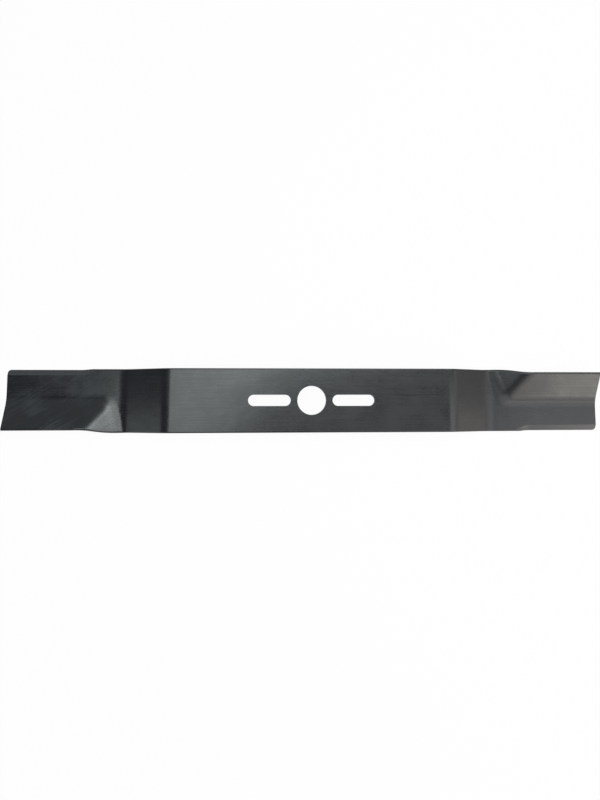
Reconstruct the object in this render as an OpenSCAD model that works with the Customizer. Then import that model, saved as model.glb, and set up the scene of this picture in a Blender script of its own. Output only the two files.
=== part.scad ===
// Rotary mower blade, seen with its deck side up.
// One steel bar with rounded long edges: the hub lies flat at z = 0 round the spindle axis, a sloping
// neck on each side leads down to a lower arm, and the trailing half of each arm is folded up as a lift
// wing. The leading edge of each arm is ground to a bevel from above. Both arms are the same, turned
// half a turn.

/* [Bar] */
// Length of the blade from tip to tip
blade_length = 536; // [490:1:600]
// Width of the flat bar
blade_width = 56.5; // [50:0.5:66]
// Thickness of the bar
thickness = 3; // [2.5:0.1:4]
// Rounding that rolling leaves on the bar's long edges
edge_r = 1.2; // [0.4:0.1:1.2]

/* [Hub] */
// Diameter of the bore for the spindle
bore_d = 25.4; // [16:0.1:30]
// Width of the two bolt slots
slot_width = 9.8; // [6:0.1:13]
// Length of each slot over its round ends
slot_length = 37.5; // [24:0.5:44]
// Distance between the middles of the two slots
slot_spacing = 74.5; // [70:0.5:84]

/* [Neck] */
// Distance between the two bend lines where the hub's flat ends
hub_length = 257; // [240:1:280]
// Height of the hub's flat above the arms
drop = 20; // [12:0.5:26]
// Slope of the neck between the hub and an arm
neck_angle = 29; // [24:0.5:36]
// Radius of the two bends of a neck
neck_bend_r = 20; // [12:1:28]

/* [Wing] */
// Angle that the wing is folded up by
wing_angle = 30; // [18:0.5:35]
// Radius of the fold between an arm's flat and its wing
wing_bend_r = 20; // [12:1:30]
// Distance of the fold line from the bar's centre line, towards the leading edge
fold_offset = 0.5; // [0:0.1:5]
// Distance from the foot of the neck to where the trailing edge starts to rise
ramp_gap = 4; // [2:0.5:10]
// Length along the trailing edge over which it rises to its full height
ramp_length = 31.5; // [26:0.5:44]
// How much further out the rise starts at the fold line than at the trailing edge
ramp_skew = 11; // [4:0.5:14]

/* [Cutting edge] */
// Angle of the ground bevel
bevel_angle = 30; // [22:0.5:40]
// Width of bar that grinding takes off the leading edge
edge_setback = 0.65; // [0.2:0.05:2]
// Length of the full bevel, measured from the tip
bevel_length = 62.5; // [40:0.5:80]
// Radius of the grinding wheel, which gives the bevel's run-out
wheel_r = 50; // [30:1:90]
// Radius of the corner between the cutting edge and the end of the arm
corner_r = 2.8; // [1:0.1:6]

/* [Hidden] */
$fn = 96;

// Spacing of the sections and of the points across the wing, for the pressed sheet
section_step = 2;
point_step = 1.5;
// Number of flats in each bend of a neck, and in the rounding of an edge
neck_flats = 8;
edge_flats = 3;
// How far a cutter reaches past the metal
clear = 5;
// How far the wheel dips below the bevel where it leaves the cut, and a corner cutter past its edges
dip = 0.02;

half_length = blade_length / 2;
half_width = blade_width / 2;
hub_end = hub_length / 2;
neck_run = drop / tan(neck_angle);
neck_foot = hub_end + neck_run;

// Height at which the bevel runs out through the rounding of the lower edge
edge_lift = edge_r - sqrt(edge_r * edge_r - pow(max(edge_r - edge_setback, 0), 2));

// The fold up to the trailing edge, along the metal, and where that edge ends up
wing_width = half_width + fold_offset;
wing_rise = wing_width * sin(wing_angle);
trailing_y = wing_width * cos(wing_angle) - fold_offset;

// The ramp is the plane that lifts the wing out of the arm. It starts on a slanting line.
ramp_start = neck_foot + ramp_gap;
ramp_slant = ramp_skew / wing_width;
ramp_slope = wing_rise / (ramp_length - ramp_slant * (half_width - trailing_y));
// How steeply the wing and the ramp part at the ridge where they meet
ridge_slope = norm([ramp_slope, tan(wing_angle) - ramp_slope * ramp_slant]);

// Height over which two slopes that part by slope blend, for a bend of radius r
function blend_height(r, slope) = r * slope * slope / 2;
neck_blend = blend_height(neck_bend_r, tan(neck_angle));
fold_blend = blend_height(wing_bend_r, tan(wing_angle));
ridge_blend = blend_height(wing_bend_r, ridge_slope);

// Half the width of a bend, along the bar for a neck and across it for the fold
neck_reach = neck_blend / tan(neck_angle);
fold_reach = fold_blend / tan(wing_angle);
ridge_reach = ridge_blend / ramp_slope;

// The higher and the lower of two heights, blended where they are closer than k
function upper(a, b, k) = max(a, b) + pow(max(k - abs(a - b), 0), 2) / (4 * k);
function lower(a, b, k) = -upper(-a, -b, k);

// Height of the top face, for an arm along +X with its leading edge at -Y
function neck_height(x) = lower(0, (hub_end - x) * tan(neck_angle), neck_blend);
function wing_height(y) = (y + fold_offset) * tan(wing_angle);
function ramp_height(x, y) = ramp_slope * (x - ramp_start + ramp_slant * (y - half_width));
function lift(x, y) = upper(0, lower(wing_height(y), ramp_height(x, y), ridge_blend), fold_blend);
function top(x, y) = upper(neck_height(x), lift(x, y) - drop, neck_blend);

// Slopes of the top face along and across the bar, and the metal's under side below a point of it
function slope_x(x, y, e = 0.01) = (top(x + e, y) - top(x - e, y)) / (2 * e);
function slope_y(x, y, e = 0.01) = (top(x, y + e) - top(x, y - e)) / (2 * e);
function inward(x, y) = [slope_x(x, y), slope_y(x, y), -1];
function face_point(x, y) = [x, y, top(x, y)];
function under_point(x, y) = face_point(x, y) + thickness * inward(x, y) / norm(inward(x, y));
function metal(x, y) = [face_point(x, y), under_point(x, y)];

// Points of the top and under side that round an edge at y, for angles from 0 on the faces to 90 outside
function rim(x, y, side, angles) =
    let (down = inward(x, y) / norm(inward(x, y)), along = [0, side, side * slope_y(x, y)])
    [for (a = angles)
        let (back = edge_r * (sin(a) - 1) * along / norm(along), deep = edge_r * (1 - cos(a)) * down)
        [face_point(x, y) + back + deep, under_point(x, y) + back - deep]];
function leading_rim(x) = rim(x, -half_width, -1, [for (i = [edge_flats:-1:0]) 90 * i / edge_flats]);
function trailing_rim(x, y) = rim(x, y, 1, [for (i = [0:edge_flats]) 90 * i / edge_flats]);

// Points from the fold to the trailing edge of the flat bar, and where pressing leaves them at section x
wing_points = ceil((wing_width + fold_reach) / point_step);
wing_pitch = (wing_width + fold_reach) / wing_points;
function pressed_y(x) = [
    for (i = 0, y = -fold_offset - fold_reach; i <= wing_points;
        y = y + wing_pitch * cos(atan(slope_y(x, y + wing_pitch / 2))), i = i + 1) y];

// All points of the section at x, and of the same section on the other arm
function row(x) =
    let (ys = pressed_y(x))
    concat(
        leading_rim(x),
        [for (i = [0:wing_points - 1]) metal(x, ys[i])],
        trailing_rim(x, ys[wing_points]));
function turned(row) = [for (i = [len(row) - 1:-1:0]) [for (p = row[i]) [-p[0], -p[1], p[2]]]];

// Sections from the hub to a tip: close together in the bends and from the neck's foot to the ramp's end
neck_bend = [for (i = [-neck_flats:2:neck_flats]) hub_end + neck_reach * i / neck_flats];
ramp_end = ramp_start + ramp_length + ridge_reach;
dense_start = neck_foot - neck_reach;
dense_steps = ceil((ramp_end - dense_start) / section_step);
dense_pitch = (ramp_end - dense_start) / dense_steps;
sections = concat(neck_bend, [for (i = [0:dense_steps]) dense_start + i * dense_pitch], [half_length]);

// The corners of a closed sheet between a grid of top points and the same grid of under points
function sheet_points(grid) = [for (side = [0, 1], row = grid, point = row) point[side]];

// Triangles of a closed sheet of the given number of rows and of points in a row
function sheet_faces(rows, across) =
    let (under = rows * across, last = across - 1, far = (rows - 1) * across)
    concat(
        [for (r = [0:rows - 2], c = [0:across - 2], half = [0, 1])
            let (a = r * across + c, b = a + across)
            half == 0 ? [a, b + 1, b] : [a, a + 1, b + 1]],
        [for (r = [0:rows - 2], c = [0:across - 2], half = [0, 1])
            let (a = under + r * across + c, b = a + across)
            half == 0 ? [a, b, b + 1] : [a, b + 1, a + 1]],
        [for (r = [0:rows - 2], half = [0, 1])
            let (a = r * across, b = a + across)
            half == 0 ? [a, b, b + under] : [a, b + under, a + under]],
        [for (r = [0:rows - 2], half = [0, 1])
            let (a = r * across + last, b = a + across)
            half == 0 ? [a, b + under, b] : [a, a + under, b + under]],
        [for (c = [0:across - 2], half = [0, 1])
            half == 0 ? [c, c + under, c + 1 + under] : [c, c + 1 + under, c + 1]],
        [for (c = [far:far + across - 2], half = [0, 1])
            half == 0 ? [c, c + 1 + under, c + under] : [c, c + 1, c + 1 + under]]);

// Pressed bar from tip to tip, before grinding and piercing
module pressed_bar() {
    right = [for (x = sections) row(x)];
    left = [for (i = [len(right) - 1:-1:0]) turned(right[i])];
    grid = concat(left, right);
    polyhedron(sheet_points(grid), sheet_faces(len(grid), len(grid[0])), convexity = 6);
}

// What the grinding wheel takes off: the bevel, and the hollow that it leaves where it lifts away
module ground_away() {
    cut_width = 2 * (thickness + clear) / sin(bevel_angle);
    translate([half_length - bevel_length, edge_setback - half_width, edge_lift - drop - thickness])
        rotate([90 + bevel_angle, 0, 0])
            linear_extrude(cut_width, center = true) {
                square([bevel_length + clear, wheel_r]);
                translate([0, wheel_r - dip]) circle(wheel_r);
            }
}

// The leading corner of the arm's end, outside its rounding
module corner_away() {
    inset = corner_r - dip;
    translate([half_length - inset, edge_setback - half_width + inset, -drop - thickness - clear])
        linear_extrude(thickness + 2 * clear)
            difference() {
                translate([0, -corner_r - clear]) square(corner_r + clear);
                circle(corner_r);
            }
}

// Bore for the spindle and the two slots in line with it
module hub_holes() {
    through = thickness + 2 * clear;
    straight = slot_length - slot_width;
    translate([0, 0, -thickness / 2]) {
        cylinder(d = bore_d, h = through, center = true);
        for (side = [-1, 1])
            translate([side * slot_spacing / 2, 0, 0]) {
                cube([straight, slot_width, through], center = true);
                for (end = [-1, 1])
                    translate([end * straight / 2, 0, 0])
                        cylinder(d = slot_width, h = through, center = true);
            }
    }
}

// The whole blade
module blade() {
    color("#2b2d2e")
        difference() {
            pressed_bar();
            for (turn = [0, 180])
                rotate([0, 0, turn]) {
                    ground_away();
                    corner_away();
                }
            hub_holes();
        }
}

blade();
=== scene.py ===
# A rotary mower blade lying deck side up on a white sheet, seen from above.
import math

import bmesh
import bpy
from mathutils import Matrix, Vector


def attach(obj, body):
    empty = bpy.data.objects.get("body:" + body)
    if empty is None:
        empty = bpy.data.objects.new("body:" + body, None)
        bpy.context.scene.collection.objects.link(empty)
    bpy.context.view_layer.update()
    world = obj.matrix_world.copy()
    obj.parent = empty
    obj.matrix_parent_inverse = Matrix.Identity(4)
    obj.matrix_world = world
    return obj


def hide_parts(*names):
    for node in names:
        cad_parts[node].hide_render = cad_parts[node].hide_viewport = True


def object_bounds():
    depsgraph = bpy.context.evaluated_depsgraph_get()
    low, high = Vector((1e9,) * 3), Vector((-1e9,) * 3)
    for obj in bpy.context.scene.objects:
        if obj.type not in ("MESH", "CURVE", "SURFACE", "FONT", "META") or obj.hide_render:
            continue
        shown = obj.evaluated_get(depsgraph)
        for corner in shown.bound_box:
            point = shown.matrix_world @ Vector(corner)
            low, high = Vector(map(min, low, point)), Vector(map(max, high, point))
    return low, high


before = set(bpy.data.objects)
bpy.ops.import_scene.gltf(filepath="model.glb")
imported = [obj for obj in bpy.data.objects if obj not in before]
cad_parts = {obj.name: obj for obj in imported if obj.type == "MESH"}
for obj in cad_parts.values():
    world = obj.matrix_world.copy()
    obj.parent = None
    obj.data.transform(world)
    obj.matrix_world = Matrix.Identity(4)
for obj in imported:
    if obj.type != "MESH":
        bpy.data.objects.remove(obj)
cad_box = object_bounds()


# Blade
# One bar of steel, cut to length, pierced, pressed so that both arms drop below the hub and their
# trailing halves turn up, ground on the leading edges and painted black all over.
MM = 0.001
weld_gap = 0.05 * MM
flat_angle = math.radians(0.2)
sharp_angle = math.radians(40)
edge_radius = 0.35 * MM
edge_steps = 3
flat_weight = 100
# A ground face lies on an arm, past ground_start on the leading side, and its tilt is in the given range.
# Its upper edge turns less than a sharp one and is rounder.
arm_start = 190 * MM
ground_start = 21.5 * MM
ground_tilt = (math.radians(20), math.radians(40))
ground_angle = math.radians(18)
ground_radius = 0.8 * MM

shape = bmesh.new()
shape.from_mesh(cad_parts["blade"].data)
bmesh.ops.remove_doubles(shape, verts=shape.verts, dist=weld_gap)
bmesh.ops.dissolve_degenerate(shape, edges=shape.edges, dist=weld_gap)
bmesh.ops.dissolve_limit(
    shape, angle_limit=flat_angle, verts=shape.verts, edges=shape.edges, delimit=set())
ground = shape.faces.layers.float.new("ground")
for face in shape.faces:
    spot = face.calc_center_median()
    lead = -spot.y * math.copysign(1, spot.x)
    tilt = face.normal.angle(Vector((0, 0, 1)))
    if abs(spot.x) > arm_start and lead > ground_start and ground_tilt[0] < tilt < ground_tilt[1]:
        face[ground] = 1


def round_over(radius, chosen):
    """Rounds the edges that chosen picks by how far they turn and by the ground marks of their faces."""
    edges = [edge for edge in shape.edges if edge.is_manifold and chosen(
        edge.calc_face_angle(), {face[ground] for face in edge.link_faces})]
    bmesh.ops.bevel(
        shape, geom=edges, offset=radius, offset_type="OFFSET", affect="EDGES", segments=edge_steps,
        profile=0.5, material=-1, clamp_overlap=True)


round_over(ground_radius, lambda turn, marks: ground_angle < turn < sharp_angle and len(marks) == 2)
round_over(edge_radius, lambda turn, marks: turn > sharp_angle)
for face in shape.faces:
    face.smooth = True
blade_mesh = bpy.data.meshes.new("painted_blade")
shape.to_mesh(blade_mesh)
shape.free()
blade = bpy.data.objects.new("painted_blade", blade_mesh)
bpy.context.collection.objects.link(blade)
even = blade.modifiers.new("flat faces keep their normals", "WEIGHTED_NORMAL")
even.mode = "FACE_AREA"
even.weight = flat_weight


# Black paint
# Semi-gloss stoving paint on the rolled bar: a clear skin over a duller body gives crisp and hazy
# reflections at once, rolling leaves fine lines along the bar, and slow waves bend the reflections.
# Handling has left pale scuffs in patches on the left arm. Over the ground strips it is paler and duller.
def linear(hex_colour):
    """Turns an sRGB hex colour into the linear colour that a shader takes."""
    parts = [int(hex_colour[i:i + 2], 16) / 255 for i in (1, 3, 5)]
    return [p / 12.92 if p <= 0.04045 else ((p + 0.055) / 1.055) ** 2.4 for p in parts] + [1]


def add(tree, kind, links=(), **settings):
    """Adds a node, sets its named properties and inputs, and links (from socket, to input) pairs."""
    node = tree.nodes.new(kind)
    for name, value in settings.items():
        if name in node.bl_rna.properties:
            setattr(node, name, value)
        else:
            node.inputs[name.replace("_", " ")].default_value = value
    for source, target in links:
        tree.links.new(source, node.inputs[target])
    return node


# Real rolling lines are finer than this width, which is as coarse as they need to be to show
streak_length = 60 * MM
streak_width = 0.7 * MM
streak_tones = ((0.3, "#121416"), (0.7, "#17191b"))
blotch_size = 26 * MM
# Scuffs show where two patterns add up to a high level, and set in along the left arm
scuff_length = 22 * MM
scuff_width = 1.6 * MM
scuff_slant = math.radians(32)
scuff_levels = (0.96, 1.26)
scuff_from = -185 * MM
scuff_full = -215 * MM
scuff_colour = "#303235"
ground_colour = "#3c3d3e"
paint_ior = 1.5
skin_share = 0.5
skin_roughness = 0.17
body_levels = (0.7, 1.3)
body_roughness = (0.21, 0.37)
ground_roughness = 0.2
wave_size = 14 * MM
wave_height = 0.095 * MM
peel_size = 1.6 * MM
peel_height = 0.003 * MM

paint = bpy.data.materials.new("black_stoving_paint")
paint.use_nodes = True
tree = paint.node_tree
shader = tree.nodes["Principled BSDF"]
shader.inputs["IOR"].default_value = paint_ior
shader.inputs["Coat Weight"].default_value = skin_share
shader.inputs["Coat Roughness"].default_value = skin_roughness
place = add(tree, "ShaderNodeTexCoord").outputs["Object"]
along = add(tree, "ShaderNodeMapping", [(place, "Vector")],
            Scale=(1 / streak_length, 1 / streak_width, 1 / streak_length))
streaks = add(tree, "ShaderNodeTexNoise", [(along.outputs[0], "Vector")], Scale=1.0, Detail=3.0)
blotches = add(tree, "ShaderNodeTexNoise", [(place, "Vector")], Scale=1 / blotch_size, Detail=3.0)
slanted = add(tree, "ShaderNodeMapping", [(place, "Vector")], vector_type="TEXTURE",
              Rotation=(0, 0, scuff_slant), Scale=(scuff_length, scuff_width, scuff_length))
marks = add(tree, "ShaderNodeTexNoise", [(slanted.outputs[0], "Vector")], Scale=1.0, Detail=2.0)
patchy = add(tree, "ShaderNodeMath", [(marks.outputs[0], 0), (blotches.outputs[0], 1)], operation="ADD")
worn = add(tree, "ShaderNodeMapRange", [(patchy.outputs[0], "Value")],
           From_Min=scuff_levels[0], From_Max=scuff_levels[1])
where = add(tree, "ShaderNodeSeparateXYZ", [(place, "Vector")])
left_arm = add(tree, "ShaderNodeMapRange", [(where.outputs["X"], "Value")],
               From_Min=scuff_from, From_Max=scuff_full)
scuffs = add(tree, "ShaderNodeMath", [(worn.outputs[0], 0), (left_arm.outputs[0], 1)],
             operation="MULTIPLY")
ground_mark = add(tree, "ShaderNodeAttribute", attribute_name="ground").outputs["Fac"]

# A mix node's two colours are its inputs 6 and 7, and its mixed colour is its output 2
tones = add(tree, "ShaderNodeValToRGB", [(streaks.outputs[0], "Fac")])
for stop, (position, colour) in zip(tones.color_ramp.elements, streak_tones):
    stop.position = position
    stop.color = linear(colour)
scuffed = add(tree, "ShaderNodeMix", [(scuffs.outputs[0], "Factor"), (tones.outputs[0], 6)],
              data_type="RGBA")
scuffed.inputs[7].default_value = linear(scuff_colour)
coats = add(tree, "ShaderNodeMix", [(ground_mark, "Factor"), (scuffed.outputs[2], 6)], data_type="RGBA")
coats.inputs[7].default_value = linear(ground_colour)
tree.links.new(coats.outputs[2], shader.inputs["Base Color"])

gloss = add(tree, "ShaderNodeMath", [(streaks.outputs[0], 0), (blotches.outputs[0], 1)], operation="ADD")
dull = add(tree, "ShaderNodeMapRange", [(gloss.outputs[0], "Value")],
           From_Min=body_levels[0], From_Max=body_levels[1],
           To_Min=body_roughness[0], To_Max=body_roughness[1])
duller = add(tree, "ShaderNodeMath", [(ground_mark, 0), (dull.outputs[0], 2)], operation="MULTIPLY_ADD")
duller.inputs[1].default_value = ground_roughness
tree.links.new(duller.outputs[0], shader.inputs["Roughness"])

waves = add(tree, "ShaderNodeTexNoise", [(place, "Vector")], Scale=1 / wave_size, Detail=2.0)
peel = add(tree, "ShaderNodeTexNoise", [(place, "Vector")], Scale=1 / peel_size, Detail=1.0)
wavy = add(tree, "ShaderNodeBump", [(waves.outputs[0], "Height")], Distance=wave_height)
peeled = add(tree, "ShaderNodeBump", [(peel.outputs[0], "Height"), (wavy.outputs[0], "Normal")],
             Distance=peel_height)
tree.links.new(peeled.outputs[0], shader.inputs["Normal"])
tree.links.new(peeled.outputs[0], shader.inputs["Coat Normal"])
blade.data.materials.append(paint)
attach(blade, "root")
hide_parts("blade")


# Floor
# A sheet of white paper, far wider than the picture, that the blade lies on. The camera and the paint
# see it almost as plain white, and what is left takes the blade's faint shadow.
floor_size = 12.0
floor_gap = 0.02 * MM
own_white = 0.96
paper_colour = "#f4f4f4"
sheet = bmesh.new()
bmesh.ops.create_grid(sheet, x_segments=1, y_segments=1, size=floor_size / 2)
bmesh.ops.translate(sheet, verts=sheet.verts, vec=(0, 0, cad_box[0][2] - floor_gap))
floor_mesh = bpy.data.meshes.new("floor")
sheet.to_mesh(floor_mesh)
sheet.free()
floor = bpy.data.objects.new("floor", floor_mesh)
bpy.context.collection.objects.link(floor)
white = bpy.data.materials.new("white_paper")
white.use_nodes = True
tree = white.node_tree
tree.nodes.remove(tree.nodes["Principled BSDF"])
rays = add(tree, "ShaderNodeLightPath").outputs
seen = add(tree, "ShaderNodeMath", [(rays["Is Camera Ray"], 0), (rays["Is Glossy Ray"], 1)],
           operation="MAXIMUM")
share = add(tree, "ShaderNodeMath", [(seen.outputs[0], 0)], operation="MULTIPLY")
share.inputs[1].default_value = own_white
lit = add(tree, "ShaderNodeBsdfDiffuse", Color=linear(paper_colour))
glow = add(tree, "ShaderNodeEmission", Strength=1.0)
mix = add(tree, "ShaderNodeMixShader", [(share.outputs[0], 0), (lit.outputs[0], 1), (glow.outputs[0], 2)])
tree.links.new(mix.outputs[0], tree.nodes["Material Output"].inputs["Surface"])
floor.data.materials.append(white)


# Lamps
# Soft boxes of even brightness, placed so that each face of the blade mirrors its own. Some have wider,
# weaker boxes beside them, so that their reflections fade out instead of ending in a hard edge.
def soft_box(name, place, target, size, radiance, roll=0, colour="#ffffff"):
    """Adds a box that faces its target, with its size in metres and its roll in degrees."""
    lamp = bpy.data.lights.new(name, "AREA")
    lamp.shape = "RECTANGLE"
    lamp.size, lamp.size_y = size
    lamp.energy = radiance * math.pi * size[0] * size[1]
    lamp.color = linear(colour)[:3]
    box = bpy.data.objects.new(name, lamp)
    aim = (Vector(target) - Vector(place)).to_track_quat("-Z", "Y").to_matrix().to_4x4()
    box.matrix_world = Matrix.Translation(place) @ aim @ Matrix.Rotation(math.radians(roll), 4, "Z")
    bpy.context.collection.objects.link(box)


def hang(name, x, y, size, radiance, height=0.75, **settings):
    """Adds a box that hangs over the blade and faces straight down."""
    soft_box(name, (x, y, height), (x, y, 0), size, radiance, **settings)


cool = "#f6feff"
warm = "#fff9f1"
right_arm = (0.24, 0, 0)

# Overhead: the hub's left half mirrors the key, and the left ramp the long box towards the back
hang("key", -0.155, 0.014, (0.205, 0.46), 2.85, roll=-37, colour=cool)
hang("key_back", -0.155, 0.15, (0.25, 0.18), 0.95, height=0.745, colour=cool)
hang("long_back", 0.35, 0.31, (0.23, 0.72), 4.7, roll=-72, colour=cool)
hang("back_haze", 0.33, 0.38, (0.36, 0.90), 0.8, height=0.74, roll=-72, colour=cool)

# Over and beside the right half: the hub's right end, the arm's flat, the neck and the fold of the wing
hang("middle", 0.17, -0.17, (0.50, 0.46), 0.23)
hang("right", 0.72, -0.05, (0.56, 0.18), 1.6)
soft_box("right_wall", (1.00, -0.06, 0.44), (0, -0.06, 0.44), (0.90, 0.62), 0.52, colour=warm)
soft_box("right_top", (0.99, -0.06, 0.62), (0, -0.06, 0.62), (0.60, 0.28), 0.5, colour=warm)
hang("front_right", 0.50, -0.345, (0.80, 0.25), 0.8)
hang("front_right_rim", 0.50, -0.28, (0.80, 0.38), 1.0, height=0.745)

# In front on the right: the right wing and the right bevel
soft_box("front", (0.62, -0.72, 0.60), right_arm, (0.54, 0.36), 0.68, colour=warm)
soft_box("front_rim", (0.63, -0.74, 0.62), right_arm, (0.80, 0.58), 0.55, colour=warm)
soft_box("front_haze", (0.64, -0.76, 0.64), right_arm, (1.06, 0.80), 0.5, colour=warm)
soft_box("front_tip", (0.82, -0.80, 0.48), right_arm, (0.36, 0.36), 2.2, colour=warm)

# Low at both ends, in front on the left and behind: the necks, the right ramp and the left wing
soft_box("low_right", (0.72, -0.29, 0.16), (0.15, -0.29, 0), (0.56, 0.24), 0.85, colour=warm)
soft_box("low_left", (-0.62, -0.29, 0.20), (-0.15, -0.29, 0), (0.56, 0.30), 0.9, colour=cool)
hang("front_left", -0.20, -0.27, (0.34, 0.24), 0.52)
soft_box("rear", (-0.35, 0.72, 0.62), (-0.20, 0, 0), (0.90, 0.75), 0.31, colour=cool)


# World
# A dim, even, slightly blue room, which the paint mirrors where it mirrors no lamp. Only the camera sees
# it as white, like the sheet that the blade lies on.
room_level = 0.14
room_colour = "#e8f2ff"
world = bpy.data.worlds.new("studio")
world.use_nodes = True
tree = world.node_tree
room = tree.nodes["Background"]
room.inputs["Color"].default_value = linear(room_colour)
room.inputs["Strength"].default_value = room_level
backdrop = add(tree, "ShaderNodeBackground", Color=linear("#ffffff"), Strength=1.0)
rays = add(tree, "ShaderNodeLightPath").outputs
mix = add(tree, "ShaderNodeMixShader", [
    (rays["Is Camera Ray"], 0), (room.outputs[0], 1), (backdrop.outputs[0], 2)])
tree.links.new(mix.outputs[0], tree.nodes["World Output"].inputs["Surface"])
bpy.context.scene.world = world


# Camera
# It looks down on the blade from a little left of the bore. The photograph is a cut-out of a larger
# frame, so the lens is shifted until its axis passes where that frame had its middle.
camera_place = Vector((-63.5, -7.8, 665.4)) * MM
camera_turn = (0.1116, -0.0794, 0.0067)
picture_rows = 800
focal_px = 754.3
axis_row_px = 324.5
lens = bpy.data.cameras.new("camera")
lens.lens = focal_px / picture_rows * lens.sensor_width
lens.shift_y = (axis_row_px - (picture_rows - 1) / 2) / picture_rows
camera = bpy.data.objects.new("camera", lens)
turn = (Matrix.Rotation(camera_turn[0], 4, "X") @ Matrix.Rotation(camera_turn[1], 4, "Y")
        @ Matrix.Rotation(camera_turn[2], 4, "Z"))
camera.matrix_world = Matrix.Translation(camera_place) @ turn
bpy.context.collection.objects.link(camera)
bpy.context.scene.camera = camera

bpy.context.scene.view_settings.view_transform = "Standard"
